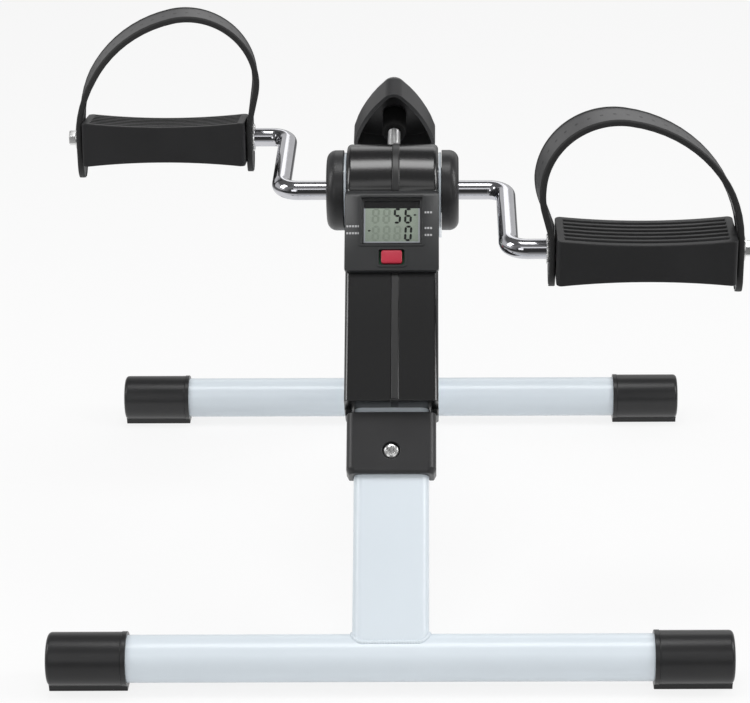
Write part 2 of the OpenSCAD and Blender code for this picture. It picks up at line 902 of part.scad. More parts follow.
module magnet_seat() {
    rotate([90, 0, 0]) translate([0, 0, sleeve_d / 2 - magnet_t])
        cylinder(d = magnet_d, h = magnet_t + 1);
}

module counter_magnet() {
    color("darkgray") translate([0, 0, axle_z]) rotate([90, 0, 0])
        translate([0, 0, sleeve_d / 2 - magnet_t]) cylinder(d = magnet_d, h = magnet_t - touch);
}

// A quarter bend in the plane of X and -Y, from the origin along +X and turning to -Y.
module bend() {
    translate([0, -bend_r, 0]) rotate_extrude(angle = 90) translate([bend_r, 0]) circle(d = rod_d);
}

module crank_arm(side) {
    straight = crank_throw - 2 * bend_r;
    color("gainsboro") crank_frame(side) {
        translate([arm_x - bend_r, 0, 0]) bend();
        translate([arm_x, -bend_r, 0]) rotate([90, 0, 0]) cylinder(d = rod_d, h = straight);
        translate([arm_x + bend_r, -crank_throw, 0]) rotate([0, 0, 180]) bend();
        translate([0, -crank_throw, 0]) {
            rod_x(rod_d / 2, arm_x + bend_r, spindle_end);
            rod_x(thread_d / 2, spindle_end - thread_d, spindle_end + washer_t + nut_t - touch);
        }
    }
}

module left_crank_arm() {
    crank_arm(-1);
}

module right_crank_arm() {
    crank_arm(1);
}

module spindle_washers(side) {
    inner = pedal_x - strap_gap - strap_t - side_gap;
    color("silver") crank_frame(side) translate([0, -crank_throw, 0]) {
        pipe_x(washer_r, rod_d / 2, inner - washer_t, inner);
        pipe_x(end_washer_r, thread_d / 2, spindle_end, spindle_end + washer_t);
    }
}

module left_spindle_washers() {
    spindle_washers(-1);
}

module right_spindle_washers() {
    spindle_washers(1);
}

module spindle_nut(side) {
    start = spindle_end + washer_t;
    color("silver") crank_frame(side) translate([start, -crank_throw, 0]) rotate([0, 90, 0])
        difference() {
            cylinder(d = nut_af / cos(30), h = nut_t, $fn = 6);
            translate([0, 0, -1]) cylinder(d = thread_d, h = nut_t + 2);
        }
}

module left_spindle_nut() {
    spindle_nut(-1);
}

module right_spindle_nut() {
    spindle_nut(1);
}

// Pedals and straps

// A cylinder that dishes the upper tread between its flat ends, sunk by a given depth.
module dish(sunk) {
    half = pedal_len / 2 - pedal_round - side_gap;
    r = (half * half + pedal_dish * pedal_dish) / (2 * pedal_dish);
    translate([0, 0, pedal_t / 2 - pedal_dish - sunk + r]) rotate([90, 0, 0])
        cylinder(r = r, h = 2 * pedal_deep, center = true, $fn = 256);
}

module tread_grooves() {
    groove_len = pedal_len - 2 * groove_border;
    middle = (groove_count - 1) / 2;
    intersection() {
        dish(groove_deep);
        for (i = [0 : groove_count - 1])
            translate([-groove_len / 2, (i - middle) * groove_pitch - groove_w / 2, 0])
                cube([groove_len, groove_w, pedal_t]);
    }
}

module pedal_body(side) {
    color("#262626") pedal_frame(side) difference() {
        translate([pedal_len / 2, 0, -pedal_drop]) difference() {
            translate([0, 0, -pedal_t / 2]) linear_extrude(pedal_t)
                round_rect(pedal_len, pedal_deep, pedal_round);
            for (turn = [0, 180]) rotate([turn, 0, 0]) {
                dish(0);
                tread_grooves();
            }
        }
        rod_x(rod_d / 2 + pedal_bore_gap, -1, pedal_len + 1);
        rod_x(pedal_bush_d / 2, -1, pedal_bush_len);
        rod_x(pedal_bush_d / 2, pedal_len - pedal_bush_len, pedal_len + 1);
    }
}

module left_pedal_body() {
    pedal_body(-1);
}

module right_pedal_body() {
    pedal_body(1);
}

module pedal_bushes(side) {
    color("ivory") pedal_frame(side) {
        pipe_x(pedal_bush_d / 2, rod_d / 2 + run_fit, 0, pedal_bush_len);
        pipe_x(pedal_bush_d / 2, rod_d / 2 + run_fit, pedal_len - pedal_bush_len, pedal_len);
    }
}

module left_pedal_bushes() {
    pedal_bushes(-1);
}

module right_pedal_bushes() {
    pedal_bushes(1);
}

// One side of the strap's band, at a given distance outside its middle line. The inner end runs
// straight from its knee to the arch, and the outer side is one curve from the arch to its own knee.
function strap_edge(bulge, out) =
    let (
        c = [strap_arch - bulge, strap_shoulder],
        run = c - inner_knee,
        lean = atan2(run[1], run[0]) + asin(strap_arch / norm(run)) - 90,
        drop = strap_shoulder - strap_knee,
        turn = 2 * atan((strap_out - c[0] - strap_arch) / drop),
        side_r = strap_arch + drop / sin(turn),
        side_c = [strap_out - side_r, strap_knee]
    )
    concat(
        [[strap_in - out, -strap_inner_tail], [strap_in - out, inner_knee[1]]],
        arc(c, strap_arch + out, 180 + lean, turn, 32),
        arc(side_c, side_r + out, turn - 4, 0, 14),
        [[strap_out + out, -strap_outer_tail]]
    );

// Rounds the end of a strap's tail, between two distances along the pedal.
module strap_tail(tail, x0, x1) {
    tail_c = strap_w / 2 - tail;
    translate([x0, -strap_w / 2, tail_c]) cube([x1 - x0, strap_w, 3 * strap_arch + tail]);
    translate([0, 0, tail_c]) rod_x(strap_w / 2, x0, x1);
}

module strap(side) {
    bulge = side > 0 ? right_strap_bulge : left_strap_bulge;
    far = strap_out + strap_t;
    color("#222222") spindle_frame(side, side > 0 ? right_strap_turn : left_strap_turn) difference() {
        intersection() {
            rotate([90, 0, 0]) linear_extrude(strap_w, center = true)
                polygon(concat(strap_edge(bulge, strap_t / 2), reversed(strap_edge(bulge, -strap_t / 2))));
            union() {
                strap_tail(strap_inner_tail, -bulge - strap_t, pedal_len / 2);
                strap_tail(strap_outer_tail, pedal_len / 2 - touch, far);
            }
        }
        rod_x(rod_d / 2 + spindle_clear, -strap_arch, far);
    }
}

module left_strap() {
    strap(-1);
}

module right_strap() {
    strap(1);
}

// Tension screw, knob and brake

module tension_boss() {
    color("lightsteelblue") difference() {
        knob_frame() cylinder(d = boss_d, h = boss_end);
        translate([0, 0, axle_z]) rod_x(shell_d / 2 + weld_gap, -boss_d, boss_d);
        knob_frame() translate([0, 0, -1]) cylinder(d = stud_d + 2 * run_fit, h = boss_end + 2);
    }
}

module brake_shoe() {
    color("sienna") knob_frame() translate([0, 0, shoe_low])
        cylinder(d = stud_d, h = stud_low - stud_gap - shoe_low);
}

module tension_screw() {
    color("gainsboro") knob_frame() translate([0, 0, stud_low])
        cylinder(d = stud_d, h = stud_high - stud_low);
}

// A rounded triangle with bulging sides, drawn in by a margin, with one lobe towards -Y.
module knob_outline(margin) {
    c = knob_reach - knob_lobe;
    r = knob_lobe - margin;
    half = 60 - knob_side;
    bulge = 0.6 * knob_side;
    side_r = r + c * sin(60) / sin(knob_side);
    side_c = c * cos(60) + (r - side_r) * cos(knob_side);
    polygon([for (turn = [-90, 30, 150])
        each concat(
            arc(c * [cos(turn), sin(turn)], r, turn - half, turn + half, 12),
            let (mid = turn + 60)
                arc(side_c * [cos(mid), sin(mid)], side_r, mid - bulge, mid + bulge, 4)
        )
    ]);
}

module tension_knob() {
    top = knob_rim + knob_depth;
    color("#2e2e2e") knob_frame() difference() {
        union() {
            difference() {
                union() {
                    translate([0, 0, knob_rim]) linear_extrude(knob_depth - knob_crown) knob_outline(0);
                    hull() {
                        translate([0, 0, top - knob_crown]) linear_extrude(touch) knob_outline(0);
                        translate([0, 0, top - knob_crown / 3]) linear_extrude(touch)
                            knob_outline(knob_crown / 4);
                        translate([0, 0, top - touch]) linear_extrude(touch) knob_outline(knob_crown);
                    }
                }
                translate([0, 0, knob_rim - 1]) linear_extrude(knob_depth - knob_top_t + 1)
                    knob_outline(knob_wall);
            }
            translate([0, 0, knob_rim - knob_hub_past])
                cylinder(d = knob_hub_d, h = knob_depth + knob_hub_past - knob_top_t / 2);
        }
        translate([0, 0, stud_low]) cylinder(d = stud_d, h = stud_high - stud_low);
    }
}

front_base_bar();
front_left_cap();
front_right_cap();
front_leg_tube();
bearing_shell();
left_bush();
right_bush();
fold_stop_pins();
housing_left();
housing_right();
housing_screws();
left_hub_cap();
right_hub_cap();
display_case();
display_lens();
lcd_panel();
display_board();
button_cell();
button_pad();
reset_button();
reed_sensor();
sensor_lead();
leg_collar();
collar_screw();
tension_boss();
rear_base_bar();
rear_left_cap();
rear_right_cap();
rear_leg_tube();
left_fork_plate();
right_fork_plate();
fork_bridge();
crank_axle();
brake_sleeve();
counter_magnet();
left_crank_arm();
right_crank_arm();
left_spindle_washers();
right_spindle_washers();
left_spindle_nut();
right_spindle_nut();
left_pedal_body();
right_pedal_body();
left_pedal_bushes();
right_pedal_bushes();
left_strap();
right_strap();
brake_shoe();
tension_screw();
tension_knob();
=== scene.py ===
import json
from math import asin, atan, atan2, copysign, cos, pi, radians, sin, sqrt, tau

import bmesh
import bpy
from mathutils import Matrix, Vector


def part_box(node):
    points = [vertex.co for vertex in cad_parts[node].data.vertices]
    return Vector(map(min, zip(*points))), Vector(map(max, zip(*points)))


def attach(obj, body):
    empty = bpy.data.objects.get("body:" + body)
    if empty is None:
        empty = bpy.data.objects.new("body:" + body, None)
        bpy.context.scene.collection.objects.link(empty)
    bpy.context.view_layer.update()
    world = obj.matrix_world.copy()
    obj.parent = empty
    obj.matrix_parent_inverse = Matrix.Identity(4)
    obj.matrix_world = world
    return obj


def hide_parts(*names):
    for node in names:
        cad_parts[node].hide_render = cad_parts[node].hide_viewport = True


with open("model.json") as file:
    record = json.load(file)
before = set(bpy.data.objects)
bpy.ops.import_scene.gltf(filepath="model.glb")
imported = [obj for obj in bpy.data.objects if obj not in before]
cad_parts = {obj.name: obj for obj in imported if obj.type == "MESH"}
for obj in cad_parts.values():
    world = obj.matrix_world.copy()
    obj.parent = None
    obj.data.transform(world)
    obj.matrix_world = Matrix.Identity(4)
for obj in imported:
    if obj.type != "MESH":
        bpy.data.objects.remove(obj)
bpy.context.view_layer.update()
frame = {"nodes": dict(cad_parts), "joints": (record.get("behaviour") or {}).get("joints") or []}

# View. A long lens looks down on the exerciser square from the front, a little to its right, and the
# picture is a crop of that view with the exerciser off its axis. The lens is set across the width.
scene = bpy.context.scene
scene.view_settings.view_transform = "Standard"
camera_place = Vector((0.0333, -1.5415, 0.7350))
camera_pitch = radians(21.39)
camera_roll = radians(-0.18)
camera_data = bpy.data.cameras.new("camera")
camera_data.lens = 124.2
camera_data.sensor_fit = "HORIZONTAL"
camera_data.shift_x = -0.0958
camera = bpy.data.objects.new("camera", camera_data)
camera.matrix_world = (Matrix.Translation(camera_place) @ Matrix.Rotation(pi / 2 - camera_pitch, 4, "X")
                       @ Matrix.Rotation(camera_roll, 4, "Z"))
scene.collection.objects.link(camera)
scene.camera = camera


# Studio. The exerciser stands on a white sheet under one wide overhead softbox, with weaker boxes
# around it. The room is pale at the sides and behind, and dark above and on the camera's side.
class Value:
    """A number, colour or vector in a shader. Arithmetic on it adds Math nodes."""

    def __init__(self, shader, socket):
        self.shader = shader
        self.socket = socket

    def math(self, operation, *operands):
        return self.shader.node("ShaderNodeMath", {"operation": operation}, operands)

    def __add__(self, other):
        return self.math("ADD", self, other)

    def __sub__(self, other):
        return self.math("SUBTRACT", self, other)

    def __mul__(self, other):
        return self.math("MULTIPLY", self, other)

    def __truediv__(self, other):
        return self.math("DIVIDE", self, other)

    def __mod__(self, other):
        return self.math("FLOORED_MODULO", self, other)

    def __lt__(self, other):
        return self.math("LESS_THAN", self, other)

    def __gt__(self, other):
        return self.math("GREATER_THAN", self, other)

    def __or__(self, other):
        return self.math("MAXIMUM", self, other)

    def __abs__(self):
        return self.math("ABSOLUTE", self)

    def __rsub__(self, other):
        return self.math("SUBTRACT", other, self)

    __radd__ = __add__
    __rmul__ = __mul__


class Shader:
    """A node tree. node() adds one node: its settings first, then the values or links of its sockets."""

    def __init__(self, tree):
        self.tree = tree

    def node(self, kind, settings=None, inputs=(), output=0):
        made = self.tree.nodes.new(kind)
        for name, setting in (settings or {}).items():
            if name == "stops":
                ramp = made.color_ramp.elements
                while len(ramp) < len(setting):
                    ramp.new(1)
                for stop, (position, grey) in zip(ramp, setting):
                    stop.position = position
                    stop.color = (grey, grey, grey, 1)
            else:
                setattr(made, name, setting)
        for socket, value in inputs.items() if isinstance(inputs, dict) else enumerate(inputs):
            self.put(made.inputs[socket], value)
        return Value(self, made.outputs[output])

    def put(self, socket, value):
        if isinstance(value, Value):
            self.tree.links.new(value.socket, socket)
        else:
            socket.default_value = value

    def mix(self, factor, low, high):
        """A colour between two others, each a Value or a plain (red, green, blue)."""
        low, high = (tone if isinstance(tone, Value) else (*tone, 1) for tone in (low, high))
        settings = {"data_type": "RGBA", "clamp_factor": True}
        return self.node("ShaderNodeMix", settings, {0: factor, 6: low, 7: high}, 2)


def seen_directly(shader):
    """1 for camera, glossy and transmission rays, 0 for the rays that light a surface."""
    rays = [shader.node("ShaderNodeLightPath", output=kind)
            for kind in ("Is Camera Ray", "Is Glossy Ray", "Is Transmission Ray")]
    return rays[0] | rays[1] | rays[2]


sheet_radius = 9
sheet_drop = 0.0004
sheet_white = 0.86
sheet_roughness = 0.95
sheet_glow = 0.84
mirrored_glow = 0.14
pool_reach = (0.45, 1.1)
pool_front = (-0.50, -0.10)
sheet_mesh = bpy.data.meshes.new("floor_sheet")
disc = bmesh.new()
bmesh.ops.create_circle(disc, cap_ends=True, segments=96, radius=sheet_radius)
disc.to_mesh(sheet_mesh)
disc.free()
sheet = bpy.data.objects.new("floor_sheet", sheet_mesh)
sheet.location.z = -sheet_drop
scene.collection.objects.link(sheet)
sheet_material = bpy.data.materials.new("white_sheet")
sheet_material.use_nodes = True
sheet_mesh.materials.append(sheet_material)
shader = Shader(sheet_material.node_tree)
paper = sheet_material.node_tree.nodes["Principled BSDF"]
paper.inputs["Base Color"].default_value = (sheet_white, sheet_white, sheet_white, 1)
paper.inputs["Roughness"].default_value = sheet_roughness
paper.inputs["Specular IOR Level"].default_value = 0
# In reflections the sheet is a pool of light that fades outwards and towards the camera.
sheet_place = shader.node("ShaderNodeTexCoord", output="Object")
distance = shader.node("ShaderNodeVectorMath", {"operation": "LENGTH"}, [sheet_place], "Value")
depth = shader.node("ShaderNodeSeparateXYZ", {}, [sheet_place], "Y")
pool = (shader.node("ShaderNodeMapRange", {}, [distance, *pool_reach, 1.0, 0.15])
        * shader.node("ShaderNodeMapRange", {}, [depth, *pool_front, 0.25, 1.0]))
glossy_ray = shader.node("ShaderNodeLightPath", output="Is Glossy Ray")
glow_colour = shader.mix(glossy_ray, (1, 1, 1), pool)
glow = shader.node("ShaderNodeEmission", {}, {"Color": glow_colour, "Strength": 1.0})
glow_share = seen_directly(shader) * (sheet_glow + mirrored_glow * glossy_ray)
surface = shader.node("ShaderNodeMixShader", {}, [glow_share, Value(shader, paper.outputs[0]), glow])
shader.put(sheet_material.node_tree.nodes["Material Output"].inputs["Surface"], surface)

world = bpy.data.worlds.new("studio")
scene.world = world
world.use_nodes = True
shader = Shader(world.node_tree)
direction = shader.node("ShaderNodeTexCoord", output="Generated")
height = shader.node("ShaderNodeSeparateXYZ", {}, [direction], "Z")
behind = shader.node("ShaderNodeSeparateXYZ", {}, [direction], "Y")
# The stops of the room's brightness: by height, and on the camera's side from straight ahead outwards.
ceiling_stops = [(0.0, 0.66), (0.42, 0.66), (0.60, 0.13), (1.0, 0.16)]
ceiling = shader.node("ShaderNodeValToRGB", {"stops": ceiling_stops}, [height])
front_stops = [(0.0, 0.05), (0.10, 0.05), (0.20, 0.24), (1.0, 0.24)]
front = shader.node("ShaderNodeValToRGB", {"stops": front_stops}, [0.5 + 0.5 * behind])
camera_side = shader.node("ShaderNodeMapRange", {}, [behind, -0.50, -0.32, 1.0, 0.0])
mirrored_room = shader.mix(camera_side, ceiling, front)
fill = 0.36
diffuse_ray = shader.node("ShaderNodeLightPath", output="Is Diffuse Ray")
room = shader.mix(diffuse_ray, mirrored_room, (fill, fill, fill))
camera_ray = shader.node("ShaderNodeLightPath", output="Is Camera Ray")
room_seen = shader.mix(camera_ray, room, (1, 1, 1))
shader.put(world.node_tree.nodes["Background"].inputs["Color"], room_seen)

softboxes = {
    "overhead_box": ((0.0, -0.12, 1.95), (0.78, 0.66), 9.0),
    "left_box": ((-1.2, -0.25, 1.03), (0.45, 0.85), 6),
    "right_box": ((1.2, -0.25, 1.03), (0.45, 0.85), 8),
    "front_strip": ((0.0, -1.5, 1.25), (1.4, 0.45), 2.1),
    "front_left_box": ((-0.7, -1.7, 0.7), (0.6, 0.6), 2.0),
    "front_right_box": ((0.7, -1.7, 0.7), (0.6, 0.6), 2.0),
    "rear_box": ((0.3, 1.9, 1.5), (1.4, 0.8), 3.8),
}
light_target = Vector((0, 0, 0.17))
for name, (place, size, watts) in softboxes.items():
    lamp = bpy.data.lights.new(name, "AREA")
    lamp.shape = "RECTANGLE"
    lamp.size, lamp.size_y = size
    lamp.energy = watts
    light = bpy.data.objects.new(name, lamp)
    light.location = place
    light.rotation_euler = (light_target - light.location).to_track_quat("-Z", "Y").to_euler()
    scene.collection.objects.link(light)


# Legs. Two T-shaped legs of round bars and flattened oval tubes, welded and powder coated in a
# cool white; the rear one ends in two fork plates that turn on the crank's bearing.
def finish(name, **constants):
    """A material with its Principled shader, whose fixed sockets are given by name."""
    material = bpy.data.materials.new(name)
    material.use_nodes = True
    shader = Shader(material.node_tree)
    shader.material = material
    shader.surface = material.node_tree.nodes["Principled BSDF"]
    for socket, value in constants.items():
        shader.surface.inputs[socket.replace("_", " ")].default_value = value
    shader.place = shader.node("ShaderNodeTexCoord", output="Object")
    return shader


def feed(shader, **values):
    """Links sockets of the surface, by name, to values that change over it."""
    for socket, value in values.items():
        shader.put(shader.surface.inputs[socket.replace("_", " ")], value)


def speckle(shader, grain_mm, detail=2.0):
    """Noise from 0 to 1 whose spots are about grain_mm across."""
    settings = {"noise_dimensions": "3D"}
    return shader.node("ShaderNodeTexNoise", settings, {
        "Vector": shader.place, "Scale": 1000 / grain_mm, "Detail": detail})


def relief(shader, height, depth_mm):
    """Raises the surface by height, where 1 stands depth_mm proud."""
    bump = {"Height": height, "Distance": depth_mm / 1000, "Strength": 1.0}
    feed(shader, Normal=shader.node("ShaderNodeBump", {}, bump))


def linear(red, green, blue):
    """A screen colour of 0 to 255 as the linear colour that a shader takes."""
    steps = (channel / 255 for channel in (red, green, blue))
    return tuple(c / 12.92 if c <= 0.04045 else ((c + 0.055) / 1.055) ** 2.4 for c in steps)


def shaded(colour, factor):
    return tuple(channel * factor for channel in colour)


def powder_coat(name, colour):
    """Baked powder coat: a glossy skin with a fine peel over a slightly cloudy colour."""
    shader = finish(name, Coat_Roughness=0.08)
    peel = speckle(shader, 1.1, 1.0)
    cloud = speckle(shader, 60, 3.0)
    feed(shader, Base_Color=shader.mix(cloud, shaded(colour, 0.96), shaded(colour, 1.03)),
         Roughness=0.34 + 0.14 * cloud, Coat_Weight=0.4 + 0.1 * cloud)
    relief(shader, peel, 0.004)
    return shader


smooth_faces = bpy.data.node_groups.new("smooth_faces", "GeometryNodeTree")
smooth_faces.interface.new_socket("Geometry", in_out="INPUT", socket_type="NodeSocketGeometry")
smooth_faces.interface.new_socket("Geometry", in_out="OUTPUT", socket_type="NodeSocketGeometry")
group_in = smooth_faces.nodes.new("NodeGroupInput")
group_smooth = smooth_faces.nodes.new("GeometryNodeSetShadeSmooth")
group_out = smooth_faces.nodes.new("NodeGroupOutput")
smooth_faces.links.new(group_in.outputs[0], group_smooth.inputs["Geometry"])
smooth_faces.links.new(group_smooth.outputs[0], group_out.inputs[0])


weld_reach = 1e-6
edge_segments = 3
sharp_edge = radians(50)


def dress(shader, *names, edge_mm=0.0):
    """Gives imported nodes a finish, and rounds their sharp edges."""
    for name in names:
        part = frame["nodes"][name]
        for slot in part.material_slots:
            slot.material = shader.material
        if edge_mm:
            weld = part.modifiers.new("joined_faces", "WELD")
            weld.merge_threshold = weld_reach
            part.modifiers.new("smooth_faces", "NODES").node_group = smooth_faces
            bevel = part.modifiers.new("rounded_edges", "BEVEL")
            bevel.width = edge_mm / 1000
            bevel.segments = edge_segments
            bevel.limit_method = "ANGLE"
            bevel.angle_limit = sharp_edge
            bevel.use_clamp_overlap = False
            bevel.loop_slide = False
            normals = part.modifiers.new("even_shading", "WEIGHTED_NORMAL")
            normals.keep_sharp = False


def loft(rings, closed=False):
    """Vertices and faces of a skin over rings of equally many points."""
    count = len(rings[0])
    points = [point for ring in rings for point in ring]
    faces = []
    for i in range(len(rings) if closed else len(rings) - 1):
        low, high = i * count, (i + 1) % len(rings) * count
        for k in range(count):
            after = (k + 1) % count
            faces.append((low + k, low + after, high + after, high + k))
    if not closed:
        faces.append(tuple(reversed(range(count))))
        faces.append(tuple(range(len(points) - count, len(points))))
    return points, faces


def piece(name, skins, shader, body, replaces=(), sharp_degrees=40):
    """One new object from a list of (points, faces) skins, riding on a body."""
    mesh = bpy.data.meshes.new(name)
    points, faces = [], []
    for skin_points, skin_faces in skins:
        faces += [tuple(k + len(points) for k in face) for face in skin_faces]
        points += skin_points
    mesh.from_pydata(points, [], faces)
    shell = bmesh.new()
    shell.from_mesh(mesh)
    bmesh.ops.recalc_face_normals(shell, faces=shell.faces)
    shell.to_mesh(mesh)
    shell.free()
    mesh.shade_smooth()
    mesh.set_sharp_from_angle(angle=radians(sharp_degrees))
    mesh.materials.append(shader.material)
    made = bpy.data.objects.new(name, mesh)
    scene.collection.objects.link(made)
    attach(made, body)
    if replaces:
        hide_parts(*replaces)
    return made


def bead(path, radius, sides=10):
    """A round bead along a closed path, with its own radius at each point."""
    rings = []
    for i, point in enumerate(path):
        along = (path[(i + 1) % len(path)] - path[i - 1]).normalized()
        side = side - along * side.dot(along) if rings else along.orthogonal()
        side.normalize()
        rings.append([point + radius(i) * (cos(a) * side + sin(a) * along.cross(side))
                      for a in (tau * k / sides for k in range(sides))])
    return loft(rings, closed=True)


joint = {row["name"]: row for row in frame["joints"]}
axle = Vector(joint["crank_turn"]["pos_m"])
leg_width = 0.045
leg_depth = 0.025
leg_corner = 0.006
rear_offset = 0.030
bead_r = 0.0013
ripple = 0.0016
ripple_points = 4
ripple_share = 0.14
cool_white = linear(222, 231, 238)
coat = powder_coat("white_powder_coat", cool_white)
dress(coat, "front_base_bar", "rear_base_bar")
dress(coat, "front_leg_tube", "rear_leg_tube", edge_mm=0.3)
dress(coat, "left_fork_plate", "right_fork_plate", "fork_bridge", edge_mm=0.4)


def rounded_rect(width, height, corner, steps):
    """Points round a rectangle with round corners, anticlockwise from its right side."""
    points = []
    for turn, (x, y) in enumerate(((1, 1), (-1, 1), (-1, -1), (1, -1))):
        middle = Vector((x * (width / 2 - corner), y * (height / 2 - corner)))
        for k in range(steps + 1):
            angle = (turn + k / steps) * pi / 2
            points.append(middle + corner * Vector((cos(angle), sin(angle))))
    return points


def evenly(points, step):
    """The same closed outline with points about one step apart."""
    result = []
    for start, end in zip(points, points[1:] + points[:1]):
        count = max(1, round((end - start).length / step))
        result += [start.lerp(end, k / count) for k in range(count)]
    return result


def weld_bead(name, bar, leg_frame, leg_y, reach, body):
    """The ripple of weld where a leg tube meets the round base bar."""
    low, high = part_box(bar)
    bar_r = (high.z - low.z) / 2
    outline = evenly(rounded_rect(leg_width, leg_depth, leg_corner, 8), ripple / ripple_points)
    path = [leg_frame @ Vector((p.x, leg_y + p.y, sqrt(bar_r ** 2 - p.y ** 2) - reach)) for p in outline]
    waist = 1 - ripple_share
    skin = bead(path, lambda i: bead_r * (waist + ripple_share * abs(cos(pi * i / ripple_points))))
    piece(name, [skin], coat, body)


def bar_middle(name):
    low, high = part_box(name)
    return (low + high) / 2


front_reach = bar_middle("front_base_bar") - axle
front_lean = atan2(-front_reach.y, -front_reach.z)
front_frame = Matrix.Translation(axle) @ Matrix.Rotation(-front_lean, 4, "X")
rear_reach = bar_middle("rear_base_bar") - axle
rear_length = sqrt(rear_reach.yz.length_squared - rear_offset ** 2)
rear_lean = atan2(rear_reach.y, -rear_reach.z) - atan2(rear_offset, rear_length)
rear_frame = Matrix.Translation(axle) @ Matrix.Rotation(rear_lean, 4, "X")
weld_bead("front_weld", "front_base_bar", front_frame, 0, front_reach.yz.length, "frame")
weld_bead("rear_weld", "rear_base_bar", rear_frame, rear_offset, rear_length, "rear_leg")

# End caps. Smooth grey vinyl thimbles pressed over the ends of the base bars, with a beaded mouth
# and a flat sole that the exerciser stands on.
cap_grey = linear(39, 39, 40)
floor_band_height = 0.0016
cap_vinyl = finish("cap_vinyl", Specular_IOR_Level=0.4)
cap_cloud = speckle(cap_vinyl, 24, 4.0)
cap_grain = speckle(cap_vinyl, 0.45)
above_floor = cap_vinyl.node("ShaderNodeSeparateXYZ", {}, [cap_vinyl.place], "Z")
# Each cap is darker in its lowest 1.6 mm, along the floor.
floor_band = above_floor < floor_band_height
cap_tone = (1 - 0.75 * floor_band) * (0.72 + 0.5 * cap_cloud)
feed(cap_vinyl, Base_Color=cap_vinyl.mix(cap_tone, shaded(cap_grey, 0.25), cap_grey),
     Roughness=0.24 + 0.06 * cap_grain + 0.08 * cap_cloud)
relief(cap_vinyl, cap_grain, 0.003)
dress(cap_vinyl, "front_left_cap", "front_right_cap", "rear_left_cap", "rear_right_cap", edge_mm=0.35)


# Housing. Two halves moulded in glossy black plastic, screwed together from the right along a raised,
# duller seam lip, with a dished hub cap over the end of the bearing on each side.
housing_dark = linear(18, 18, 19)
lip_middle = 0.002
lip_reach = 0.0021
housing_black = finish("housing_black", Specular_IOR_Level=0.85)
housing_grain = speckle(housing_black, 0.5)
housing_flow = speckle(housing_black, 35, 3.0)
lip_x = housing_black.node("ShaderNodeSeparateXYZ", {}, [housing_black.place], "X")
lip = abs(lip_x - lip_middle) < lip_reach
feed(housing_black,
     Base_Color=housing_black.mix(housing_flow, shaded(housing_dark, 0.8), shaded(housing_dark, 1.2)),
     Roughness=0.20 + 0.05 * housing_grain + 0.2 * lip)
relief(housing_black, housing_grain, 0.0015)
dress(housing_black, "housing_left", "housing_right", edge_mm=0.45)


def moulded(name, colour, roughness, grain_mm=0.5, depth_mm=0.02, specular=0.4):
    """Moulded plastic: even colour with faint flow marks and a fine eroded texture."""
    shader = finish(name, Specular_IOR_Level=specular)
    grain = speckle(shader, grain_mm)
    flow = speckle(shader, 35, 3.0)
    feed(shader, Base_Color=shader.mix(flow, shaded(colour, 0.8), shaded(colour, 1.2)),
         Roughness=roughness + 0.12 * (grain - 0.5) + 0.16 * (flow - 0.5))
    relief(shader, grain, depth_mm)
    return shader


hub_black = moulded("hub_black", linear(44, 44, 45), 0.36, depth_mm=0.01)
dress(hub_black, "left_hub_cap", "right_hub_cap", edge_mm=0.3)


def cross_head(radius, crown, rim, turn):
    """A domed screw head with a cross recess, its base in the plane z = 0."""
    steps, sides = 18, 64
    arm = 0.22 * radius
    reach = 0.56 * radius
    slope = 0.35 * arm
    recess = 0.75 * (rim + crown)
    rings = []
    for i in range(steps + 1):
        r = radius * sin(pi / 2 * i / steps) if i else radius * 0.004
        dome = rim + crown * sqrt(max(0, 1 - (r / radius) ** 2))
        ring = []
        for k in range(sides):
            a = tau * k / sides
            u = abs(r * cos(a + turn))
            v = abs(r * sin(a + turn))
            inside = max(min(arm - v, reach - u), min(arm - u, reach - v))
            sunk = min(1, max(0, inside / slope))
            ring.append(Vector((r * cos(a), r * sin(a), dome - sunk * recess)))
        rings.append(ring)
    rings.append([Vector((p.x, p.y, 0)) for p in rings[-1]])
    return rings


def placed(rings, matrix):
    return loft([[matrix @ point for point in ring] for ring in rings])


def bare_metal(name, dull, bright, roughness, haze, grain_mm, detail=3.0):
    """Bare or plated steel whose colour and gloss change a little in hazy patches."""
    shader = finish(name, Metallic=1.0)
    shader.cloud = speckle(shader, grain_mm, detail)
    feed(shader, Base_Color=shader.mix(shader.cloud, dull, bright), Roughness=roughness + haze * shader.cloud)
    return shader


to_front_leg = front_frame.inverted()


def front_points(name):
    """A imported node's vertices in the front leg's frame."""
    return [to_front_leg @ v.co for v in frame["nodes"][name].data.vertices]


def extent(points, axis):
    return min(p[axis] for p in points), max(p[axis] for p in points)


zinc = bare_metal("bright_zinc", (0.62, 0.62, 0.62), (0.84, 0.84, 0.83), 0.18, 0.2, 3.0)
relief(zinc, zinc.cloud, 0.01)
screw_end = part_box("housing_screws")[1].x
screw_r = 0.0032
screw_crown = 0.0008
screw_rim = 0.0012
screw_sunk = 0.0022
screw_points = front_points("housing_screws")
screw_y = sum(extent(screw_points, 1)) / 2
lowest, highest = extent(screw_points, 2)
screw_turns = {highest - screw_r: 0.4, lowest + screw_r: 1.1}
sideways = Matrix.Rotation(pi / 2, 4, "Y")
screws = []
for z, turn in screw_turns.items():
    screw_place = front_frame @ Matrix.Translation((screw_end - screw_sunk, screw_y, z)) @ sideways
    screws.append(placed(cross_head(screw_r, screw_crown, screw_rim, turn), screw_place))
piece("housing_screw_heads", screws, zinc, "frame", ["housing_screws"])

